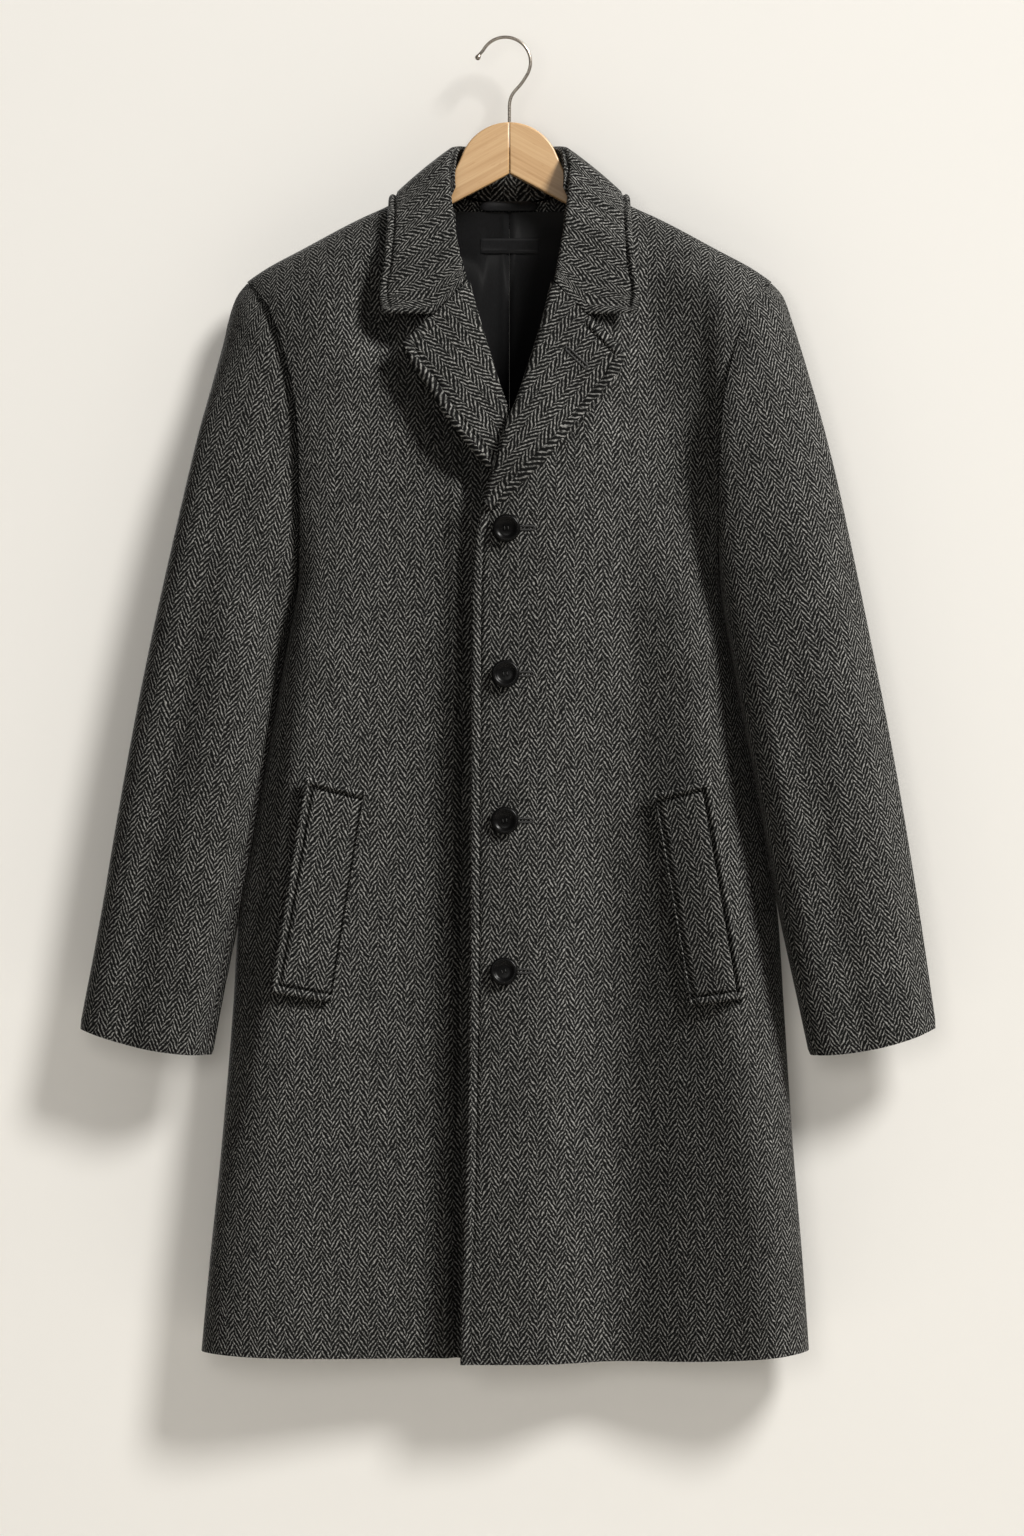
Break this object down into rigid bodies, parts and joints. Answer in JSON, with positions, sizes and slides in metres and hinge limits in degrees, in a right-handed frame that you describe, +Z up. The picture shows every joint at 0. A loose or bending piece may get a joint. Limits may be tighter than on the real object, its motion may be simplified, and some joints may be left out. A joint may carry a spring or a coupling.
{
  "type": "single-breasted wool overcoat on a wooden coat hanger",
  "caption": "Knee-length buttoned herringbone overcoat with notch lapels and slanted welt pockets, hanging on a wooden hanger with a wire hook.",
  "frame": {"origin": "the hook seat, where the inside of the hook rests on a nail or rail", "axes": "+X towards the wearer's left, +Y out of the coat's back towards the wall, +Z up"},
  "size_m": [0.7671, 0.1227, 1.191],
  "materials": {
    "herringbone_wool": "brushed herringbone wool, matt",
    "lining_satin": "satin lining",
    "trim_satin": "black satin",
    "button": "polished black, horn-like",
    "hanger_wood": "clear-lacquered beech",
    "hook_wire": "nickel-plated wire"
  },
  "bodies": {
    "root": {"front_left": "herringbone_wool", "front_right": "herringbone_wool", "back_left": "herringbone_wool", "back_right": "herringbone_wool", "sleeve_top_left": "herringbone_wool", "sleeve_top_right": "herringbone_wool", "sleeve_under_left": "herringbone_wool", "sleeve_under_right": "herringbone_wool", "collar_fall": "herringbone_wool", "collar_stand": "herringbone_wool", "lapel_left": "herringbone_wool", "lapel_right": "herringbone_wool", "pocket_welt_left": "herringbone_wool", "pocket_welt_right": "herringbone_wool", "lining_back_left": "lining_satin", "lining_back_right": "lining_satin", "hanger_loop": "trim_satin", "neck_label": "trim_satin", "button_1": "button", "button_2": "button", "button_3": "button", "button_4": "button", "hanger_arm_left": "hanger_wood", "hanger_arm_right": "hanger_wood", "hanger_hook": "hook_wire"}
  },
  "joints": []
}
